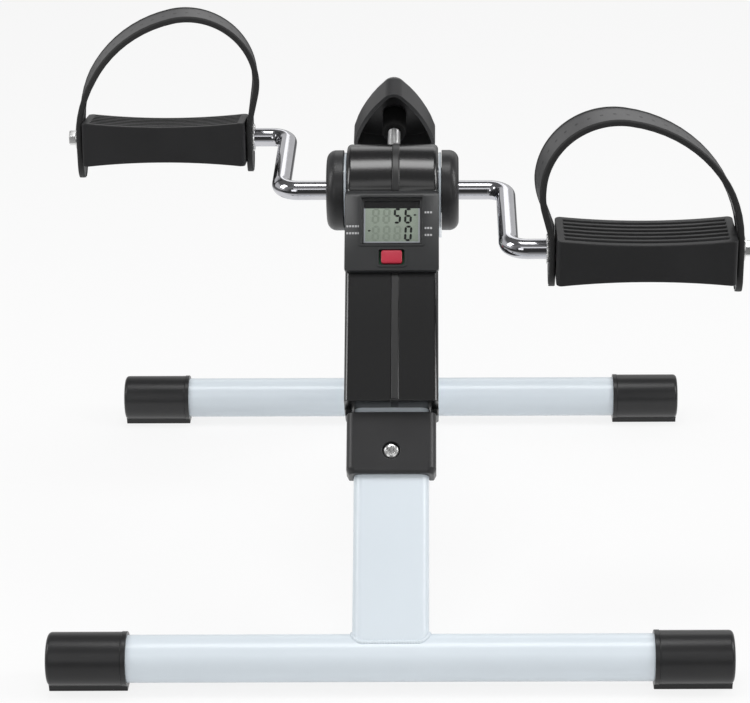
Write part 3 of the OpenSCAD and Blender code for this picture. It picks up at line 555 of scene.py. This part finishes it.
# Display. A moulded case plugged into the front of the housing holds a liquid crystal counter behind
# a clear window, with a red reset button under it. The figures lie on the glass as thin ink.
case_black = moulded("case_black", linear(43, 44, 45), 0.34, depth_mm=0.008)
dress(case_black, "display_case", edge_mm=0.4)
window = finish("clear_window", Roughness=0.05, Alpha=0.06, Specular_IOR_Level=0.3)
smear = speckle(window, 8, 3.0)
feed(window, Base_Color=window.mix(smear, (0.03, 0.03, 0.03), (0.08, 0.08, 0.08)))
dress(window, "display_lens")


def slab(outline, y, thickness):
    """A flat plate in the front leg's frame, from an outline of (x, z) points, facing the user."""
    rings = [[front_frame @ Vector((x, y - depth, z)) for x, z in outline] for depth in (0, thickness)]
    return loft(rings)


lcd_points = front_points("lcd_panel")
lcd_face = extent(lcd_points, 1)[0]
lcd_right = extent(lcd_points, 0)[1]
lcd_low, lcd_high = extent(lcd_points, 2)
lcd_tall = lcd_high - lcd_low
glass_grey = linear(150, 161, 148)
strip_grey = linear(172, 176, 182)
top_shadow_black = (0.008, 0.008, 0.009)
ledge = 0.0014
strip_width = 0.0009
top_shadow_height = 0.0063
lcd = finish("liquid_crystal", Roughness=0.35, Specular_IOR_Level=0.2)
lcd_x = lcd.node("ShaderNodeSeparateXYZ", {}, [lcd.place], "X")
lcd_height = lcd.node("ShaderNodeSeparateXYZ", {}, [lcd.place], "Z")
window_top = front_frame @ Vector((0, lcd_face, lcd_high))
window_foot = front_frame @ Vector((0, lcd_face, lcd_low))
rise = (lcd_height - window_foot.z) / (window_top.z - window_foot.z)
# Painted light: the crystal is painted lighter towards its top and darker towards its foot.
crystal_painted_light = lcd.node("ShaderNodeMapRange", {}, [rise, 0.0, 1.0, 0.55, 1.25])
mottle = speckle(lcd, 0.5)
crystal_and_painted_light = lcd.mix(0.75 * crystal_painted_light + 0.2 * mottle, shaded(glass_grey, 0.7), shaded(glass_grey, 1.15))
rim_edge = ledge + strip_width
rim = (abs(lcd_x) > lcd_right - rim_edge) | (rise < rim_edge / lcd_tall)
rimmed = lcd.mix(rim, crystal_and_painted_light, strip_grey)
# Painted shadow: a near black band across the top of the crystal, standing in for the shadow of the recess's
# upper wall.
top_shadow_band = rise > 1 - top_shadow_height / lcd_tall
feed(lcd, Base_Color=lcd.mix(top_shadow_band, rimmed, top_shadow_black))
dress(lcd, "lcd_panel")

digit_height = 0.0103
digit_width = 0.0047
digit_stroke = 0.0014
digit_lean = 0.06
segment_gap = 0.12
segments = {
    "top": ((0, 2), (1, 2)), "upper_right": ((1, 2), (1, 1)), "lower_right": ((1, 1), (1, 0)),
    "bottom": ((0, 0), (1, 0)), "lower_left": ((0, 1), (0, 0)), "upper_left": ((0, 2), (0, 1)),
    "middle": ((0, 1), (1, 1)),
}
lit_segments = {
    "0": {"top", "upper_right", "lower_right", "bottom", "lower_left", "upper_left"},
    "5": {"top", "upper_left", "middle", "lower_right", "bottom"},
    "6": {"top", "upper_left", "middle", "lower_left", "lower_right", "bottom"},
    "8": set(segments),
}


def stroke(start, end, width):
    """A bar with pointed ends between two points of the glass."""
    along = (end - start).normalized()
    side = Vector((-along.y, along.x)) * width / 2
    start, end = start + along * width * segment_gap, end - along * width * segment_gap
    tip = along * width / 2
    return [start, start + tip - side, end - tip - side, end, end - tip + side, start + tip + side]


def digit(figure, middle):
    """The outlines of a figure's segments, centred on a point of the glass."""
    outlines = []
    for name in sorted(lit_segments[figure]):
        ends = []
        for column, row in segments[name]:
            up = (row - 1) * (digit_height - digit_stroke) / 2
            across = (column - 0.5) * (digit_width - digit_stroke) + digit_lean * up
            ends.append(middle + Vector((across, up)))
        outlines.append(stroke(*ends, digit_stroke))
    return outlines


ink = finish("crystal_ink", Roughness=0.5, Specular_IOR_Level=0.2)
feed(ink, Base_Color=ink.mix(speckle(ink, 1.5), (0.004, 0.005, 0.005), (0.010, 0.011, 0.010)))
faint = finish("resting_crystal", Roughness=0.5, Specular_IOR_Level=0.2)
feed(faint, Base_Color=faint.mix(speckle(faint, 1.5), shaded(glass_grey, 0.74), shaded(glass_grey, 0.84)))
ink_height = 0.00006
upper_row = lcd_high - 0.0113
lower_row = lcd_high - 0.0229
columns = (-0.00985, -0.00325, 0.00335, 0.00995)
shown = [("5", columns[2], upper_row), ("6", columns[3], upper_row), ("0", columns[3], lower_row)]
resting = [("8", x, upper_row) for x in columns[:2]] + [("8", x, lower_row) for x in columns[:3]]
lit = [outline for figure, x, z in shown for outline in digit(figure, Vector((x, z)))]
unlit = [outline for figure, x, z in resting for outline in digit(figure, Vector((x, z)))]
pointer_size = 0.0009
pointer_shape = ((-1, -0.6), (0.2, -0.6), (1, 0), (0.2, 0.6), (-1, 0.6))
pointer_places = ((0.0142, upper_row + 0.0006), (-0.0136, lower_row + 0.0018))
for x, z in pointer_places:
    lit.append([Vector((x + pointer_size * u, z + pointer_size * v)) for u, v in pointer_shape])
piece("counter_digits", [slab(outline, lcd_face, ink_height) for outline in lit], ink, "frame")
piece("counter_ghosts", [slab(outline, lcd_face, ink_height / 2) for outline in unlit], faint, "frame")


def frame_strip(outer, inner, middle_z, y, thickness):
    """A rectangular rim round a window, from the sizes (width, height, corner) of its two edges."""
    outlines = [rounded_rect(*size, 6) for size in (outer, inner)]
    rings = []
    for ring, depth in ((0, 0), (0, thickness), (1, thickness), (1, 0)):
        rings.append([front_frame @ Vector((p.x, y - depth, middle_z + p.y)) for p in outlines[ring]])
    return loft(rings, closed=True)


case_face = extent(front_points("display_case"), 1)[0]
lens_points = front_points("display_lens")
lens_left, lens_right = extent(lens_points, 0)
lens_low, lens_high = extent(lens_points, 2)
lens_w, lens_h = lens_right - lens_left, lens_high - lens_low
lens_gap = 0.0006
lens_rim = 0.0030
rim_proud = 0.0004
window_rim = frame_strip(
    (lens_w + lens_rim, lens_h + lens_rim, 0.0012),
    (lens_w + lens_gap, lens_h + lens_gap, 0.0004),
    (lens_low + lens_high) / 2, case_face, rim_proud)
button_points = [p for p in front_points("reset_button") if p.y < case_face]
button_top = extent(button_points, 1)[0]
button_low, button_high = extent(button_points, 2)
button_z = (button_low + button_high) / 2
button_w = extent(button_points, 0)[1] * 2
button_h = button_high - button_low
button_gap = 0.0008
button_rim = 0.0036
key_rim = frame_strip(
    (button_w + button_rim, button_h + button_rim, 0.0022),
    (button_w + button_gap, button_h + button_gap, 0.0014),
    button_z, case_face, rim_proud)
piece("window_rims", [window_rim, key_rim], case_black, "frame")

mark_grey = finish("pad_print", Roughness=0.6)
feed(mark_grey, Base_Color=mark_grey.mix(speckle(mark_grey, 0.7), (0.32, 0.32, 0.33), (0.55, 0.55, 0.56)))
mark_thick = 0.00005
mark_block = 0.0012
mark_gap = 0.0005
mark_high = 0.0013
mark_corners = ((-1, -1), (1, -1), (1, 1), (-1, 1))
mark_rows = ((-0.0236, -0.0372, 5), (-0.0236, -0.0418, 5),
             (0.0222, -0.0281, 3), (0.0222, -0.0385, 3), (0.0222, -0.0431, 3))
marks = []
for middle, z, count in mark_rows:
    for k in range(count):
        x = middle + (k - (count - 1) / 2) * (mark_block + mark_gap)
        corners = [(x + u * mark_block / 2, z + v * mark_high / 2) for u, v in mark_corners]
        marks.append(slab(corners, case_face, mark_thick))
piece("mode_marks", marks, mark_grey, "frame")

button_red = moulded("button_red", linear(180, 40, 62), 0.38, 0.6, 0.008)
key_w = 0.84 * button_w
key_h = 0.88 * button_h
key_corner = 0.0014
key_in = 0.0014
key_steps = ((0, case_face + key_in), (0, button_top + 0.0005), (0.0004, button_top + 0.0001),
             (0.0012, button_top))
key_rings = []
for inset, y in key_steps:
    outline = rounded_rect(key_w - 2 * inset, key_h - 2 * inset, key_corner - inset / 2, 6)
    key_rings.append([front_frame @ Vector((p.x, y, button_z + p.y)) for p in outline])
piece("reset_button_top", [loft(key_rings)], button_red, "button", ["reset_button"])
board_green = moulded("board_green", (0.03, 0.16, 0.07), 0.5, 1.2, 0.01)
dress(board_green, "display_board")
cell_steel = bare_metal("cell_steel", (0.55, 0.55, 0.54), (0.75, 0.75, 0.74), 0.25, 0.15, 0.8)
dress(cell_steel, "button_cell", edge_mm=0.3)
pad_rubber = moulded("pad_rubber", (0.05, 0.05, 0.052), 0.7, 0.6, 0.02)
dress(pad_rubber, "button_pad")
sensor_resin = moulded("sensor_resin", (0.66, 0.62, 0.48), 0.45, 0.7, 0.01)
dress(sensor_resin, "reed_sensor")
lead_sheath = moulded("lead_sheath", (0.07, 0.07, 0.072), 0.5, 0.6, 0.01)
dress(lead_sheath, "sensor_lead")

# Leg collar. A moulded collar closes the foot of the housing round the front leg and is held to the
# tube by one domed screw in a round recess.
collar_black = moulded("collar_black", linear(49, 49, 50), 0.36, depth_mm=0.008)
dress(collar_black, "leg_collar", edge_mm=0.6)
collar_screw = front_points("collar_screw")
head_face = extent(collar_screw, 1)[0]
head_low, head_high = extent(collar_screw, 2)
head_r = (head_high - head_low) / 2
head_crown = 0.0014
head_rim = 0.0008
head_turn = 0.3
facing = Matrix.Rotation(pi / 2, 4, "X")
head_seat = Vector((0, head_face + head_crown + head_rim, (head_low + head_high) / 2))
collar_head = placed(cross_head(head_r, head_crown, head_rim, head_turn),
                     front_frame @ Matrix.Translation(head_seat) @ facing)
piece("collar_screw_head", [collar_head], zinc, "frame", ["collar_screw"])

# Bearing. Inside the housing a steel shell welded across the leg carries two nylon bushes, and two
# stop pins in its lugs limit the fold of the rear leg.
mill_steel = bare_metal("mill_steel", (0.36, 0.37, 0.38), (0.55, 0.56, 0.57), 0.32, 0.2, 4.0, 4.0)
relief(mill_steel, mill_steel.cloud, 0.01)
dress(mill_steel, "bearing_shell", "tension_boss", "brake_sleeve", edge_mm=0.3)
dress(zinc, "fold_stop_pins")
nylon = moulded("nylon", (0.72, 0.7, 0.62), 0.42, 0.9, 0.01)
dress(nylon, "left_bush", "right_bush", "left_pedal_bushes", "right_pedal_bushes")

# Tension knob. A hollow three-lobed knob of black plastic turns a threaded steel stud that presses
# the brake shoe on the sleeve of the axle.
knob_axis = Vector(joint["tension_knob_turn"]["axis"])
if knob_axis.y < 0:
    knob_axis = -knob_axis


def along_knob(name):
    """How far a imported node's vertices lie from the axle, along the knob's axis."""
    return [(v.co - axle).dot(knob_axis) for v in frame["nodes"][name].data.vertices]


knob_grey = linear(56, 56, 57)
core_shade_r = 0.0085
knob_lip = 0.005
knob_floor = max(along_knob("tension_knob")) - knob_lip
knob_black = finish("knob_black", Specular_IOR_Level=0.4)
from_axle = knob_black.node("ShaderNodeVectorMath", {"operation": "SUBTRACT"}, [knob_black.place, axle])
off_axis = knob_black.node("ShaderNodeVectorMath", {"operation": "CROSS_PRODUCT"}, [from_axle, knob_axis])
off = knob_black.node("ShaderNodeVectorMath", {"operation": "LENGTH"}, [off_axis], "Value")
out = knob_black.node("ShaderNodeVectorMath", {"operation": "DOT_PRODUCT"}, [from_axle, knob_axis], "Value")
# Painted shade: inside the knob's hollow, the hub is painted near black and made dull, standing in for the
# shade that falls there.
painted_core_shade = (off < core_shade_r) * (out < knob_floor)
knob_cloud = speckle(knob_black, 35, 3.0)
knob_tone_and_shade = (1 - 0.9 * painted_core_shade) * (0.65 + 0.35 * knob_cloud)
feed(knob_black, Base_Color=knob_black.mix(knob_tone_and_shade, (0, 0, 0), shaded(knob_grey, 1.2)),
     Roughness=0.32 + 0.12 * knob_cloud + 0.55 * painted_core_shade)
relief(knob_black, speckle(knob_black, 0.5), 0.01)
dress(knob_black, "tension_knob", edge_mm=0.5)
lining = moulded("brake_lining", (0.16, 0.09, 0.05), 0.75, 0.8, 0.03)
dress(lining, "brake_shoe")
knob_side = knob_axis.orthogonal().normalized()
knob_across = knob_axis.cross(knob_side)
stud = along_knob("tension_screw")
stud_r = 0.004
thread_pitch = 0.00125
thread_deep = 0.00042


def thread(start, end, radius, pitch, depth, sides=32, turn_steps=8):
    """A screw thread as one skin: a ridge that climbs one pitch in each turn."""
    rings = []
    steps = round((end - start) / pitch * turn_steps)
    for i in range(steps + 1):
        along = start + (end - start) * i / steps
        ring = []
        for k in range(sides):
            phase = (i / turn_steps - k / sides) % 1
            r = radius - depth * (0.5 - 0.5 * cos(tau * phase))
            angle = tau * k / sides
            outward = cos(angle) * knob_side + sin(angle) * knob_across
            ring.append(axle + along * knob_axis + r * outward)
        rings.append(ring)
    return loft(rings)


stud_steel = bare_metal("stud_steel", (0.36, 0.36, 0.36), (0.50, 0.50, 0.50), 0.24, 0.2, 3.0)
piece("tension_stud", [thread(min(stud), max(stud), stud_r, thread_pitch, thread_deep)], stud_steel,
      "knob", ["tension_screw"], sharp_degrees=60)

# Crank. One bent rod of plated steel on each side, shrunk on the axle; the plating is bright, with
# faint hazy patches.
chrome = bare_metal("bright_plating", (0.51, 0.51, 0.54), (0.61, 0.61, 0.64), 0.05, 0.08, 14)
dress(chrome, "crank_axle", "left_crank_arm", "right_crank_arm")
magnet = finish("magnet_black", Metallic=0.6)
feed(magnet, Base_Color=magnet.mix(speckle(magnet, 1.5), (0.1, 0.1, 0.11), (0.2, 0.2, 0.21)))
dress(magnet, "counter_magnet")

# Spindle ends. A toothed washer keeps the pedal off the bend, and a washer with a chamfered nut
# holds it on the end of the rod.
washer_teeth = 20
tooth_deep = 0.0009
washer_chamfer = 0.0002
rod_bore = 0.00605
toothed_r = 0.009
stub_bore = 0.00305
plain_r = 0.0075
pedal_middle = 0.15


def turned_ring(x0, x1, inner, outer, teeth, centre, side):
    """A washer across the X axis, with rounded teeth round its rim if it has any."""
    sides = teeth * 8 if teeth else 64
    edge = outer - washer_chamfer
    profile = [(x0, inner), (x0, edge), (x0 + washer_chamfer, outer), (x1 - washer_chamfer, outer),
               (x1, edge), (x1, inner)]
    rings = []
    for x, r in profile:
        ring = []
        for k in range(sides):
            angle = tau * k / sides
            notch = tooth_deep * (0.5 + 0.5 * cos(teeth * angle)) if teeth and r > inner else 0
            ring.append(centre + Vector((side * x, (r - notch) * cos(angle), (r - notch) * sin(angle))))
        rings.append(ring)
    return loft(rings, closed=True)


for side, label in ((-1, "left"), (1, "right")):
    spindle = Vector(joint[label + "_pedal_turn"]["pos_m"])
    middle = Vector((0, spindle.y, spindle.z))
    ends = sorted(abs(v.co.x) for v in frame["nodes"][label + "_spindle_washers"].data.vertices)
    near_ends = [x for x in ends if x < pedal_middle]
    far_ends = [x for x in ends if x > pedal_middle]
    washers = [turned_ring(near_ends[0], near_ends[-1], rod_bore, toothed_r, washer_teeth, middle, side),
               turned_ring(far_ends[0], far_ends[-1], stub_bore, plain_r, 0, middle, side)]
    piece(label + "_washers", washers, zinc, "crank", [label + "_spindle_washers"])
    dress(zinc, label + "_spindle_nut", edge_mm=0.6)

# Pedals. Each is one dished block of black plastic with grooved treads above and below, turning on
# two nylon bushes.
pedal_black = moulded("pedal_black", linear(37, 37, 38), 0.44, 0.45, 0.012, 0.3)
dress(pedal_black, "left_pedal_body", "right_pedal_body", edge_mm=0.7)

# Foot straps. A band of grey vinyl with thickened edges arches over each pedal; its two tails are held
# on the spindle by the washers, and a row of tiny pips runs along its middle.
pedal_inner = 0.0977
pedal_long = 0.106
band_w = 0.024
band_t = 0.0028
band_edge = 0.0012
bead_proud = 0.0005
bead_wide = 0.0026
bead_slope = 0.0006
strap_in = -0.0022
strap_out = pedal_long + 0.0028
inner_knee = Vector((strap_in, 0.0105))
arch_r = 0.0435
shoulder = 0.040
outer_knee = 0.004
inner_tail = 0.023
outer_tail = 0.027
skew = 0.003
skew_start = 0.012
skew_rise = 0.03
ring_step = 0.0012
section_step = 0.0006
tail_tip = 0.05


def strap_line(bulge):
    """The strap's middle line along the pedal, from its inner tail to its outer one."""
    middle = Vector((arch_r - bulge, shoulder))
    run = middle - inner_knee
    lean = atan2(run.y, run.x) + asin(arch_r / run.length) - pi / 2
    drop = shoulder - outer_knee
    turn = 2 * atan((strap_out - middle.x - arch_r) / drop)
    side_r = arch_r + drop / sin(turn)
    line = [Vector((strap_in, -inner_tail)), inner_knee]
    line += [middle + arch_r * Vector((cos(a), sin(a)))
             for a in (pi + lean + (turn - pi - lean) * k / 64 for k in range(65))]
    line += [Vector((strap_out - side_r + side_r * cos(a), outer_knee + side_r * sin(a)))
             for a in (turn * (1 - k / 16) for k in range(1, 17))]
    line.append(Vector((strap_out, -outer_tail)))
    return line


def resampled(line, step):
    """The line again with points one step apart, with the distance of each from its start."""
    result, left, walked = [(line[0], 0.0)], step, 0.0
    for start, end in zip(line, line[1:]):
        length = (end - start).length
        while left <= length:
            result.append((start.lerp(end, left / length), walked + left))
            left += step
        left -= length
        walked += length
    result.append((line[-1], walked))
    return result


def strap_band(bulge, side):
    """Rings of the band in the pedal's own frame, with rounded tails and thickened edges, and for each
    of their points how far it lies along the band and across it."""
    line = resampled(strap_line(bulge), ring_step)
    total = line[-1][1]
    section = evenly(rounded_rect(band_w, band_t, band_edge, 5), section_step)
    half = band_w / 2
    rings = []
    marks = []
    for i, (point, walked) in enumerate(line):
        along = (line[min(i + 1, len(line) - 1)][0] - line[max(i - 1, 0)][0]).normalized()
        out = Vector((-along.y, along.x))
        to_end = min(walked, total - walked)
        narrow = sqrt(max(0.0, half ** 2 - (half - to_end) ** 2)) / half if to_end < half else 1
        narrow = max(narrow, tail_tip)
        lean = skew * min(1, max(0, (point.y - skew_start) / skew_rise))
        ring = []
        for p in section:
            y = p.x * narrow
            proud = bead_proud * min(1, max(0, (abs(p.x) - half + bead_wide) / bead_slope))
            level = p.y + copysign(proud, p.y)
            x = point.x + out.x * level - side * lean * (y / half) * 0.5
            ring.append(Vector((x, y, point.y + out.y * level)))
            marks.append((walked, p.x))
        rings.append(ring)
    return rings, marks


vinyl = finish("strap_vinyl", Specular_IOR_Level=0.6)
along = vinyl.node("ShaderNodeAttribute", {"attribute_name": "along"}, output="Fac")
aside = vinyl.node("ShaderNodeAttribute", {"attribute_name": "across"}, output="Fac")
vinyl_grain = speckle(vinyl, 0.5)
vinyl_cloud = speckle(vinyl, 18, 3.0)
pip_pitch = 0.0075
pip_r = 0.0011
edge_shade_wide = 0.0024
# Painted shade: the strap's edge margins and its pip dimples are painted dark, standing in for the shade
# along the thickened edges and inside the dimples.
pip_run = along % pip_pitch - pip_pitch / 2
pip_dimple_and_shade = pip_run * pip_run + aside * aside < pip_r ** 2
edge_shade_margin = abs(aside) > band_w / 2 - edge_shade_wide
vinyl_tone_and_shade = (0.45 + 0.5 * vinyl_cloud) * (1 - 0.85 * (edge_shade_margin | pip_dimple_and_shade))
feed(vinyl, Base_Color=vinyl.mix(vinyl_tone_and_shade, (0.004, 0.004, 0.004), linear(84, 84, 85)),
     Roughness=0.36 + 0.12 * vinyl_cloud + 0.25 * edge_shade_margin)
relief(vinyl, vinyl_grain * 0.3 - pip_dimple_and_shade, 0.05)

strap_turns = {"left": (-1, 0.007, 2.5), "right": (1, 0.0094, 4.6)}
for label, (side, bulge, turn) in strap_turns.items():
    spindle = Vector(joint[label + "_pedal_turn"]["pos_m"])
    place = Matrix.Translation((0, spindle.y, spindle.z)) @ Matrix.Rotation(radians(turn), 4, "X")
    rings, marks = strap_band(bulge, side)
    mirrored = Matrix.Diagonal((side, 1, 1, 1)) @ Matrix.Translation((pedal_inner, 0, 0))
    strap = piece(label + "_foot_strap", [placed(rings, place @ mirrored)], vinyl, label + "_pedal",
                  [label + "_strap"])
    for name, index in (("along", 0), ("across", 1)):
        layer = strap.data.attributes.new(name, "FLOAT", "POINT")
        layer.data.foreach_set("value", [mark[index] for mark in marks])
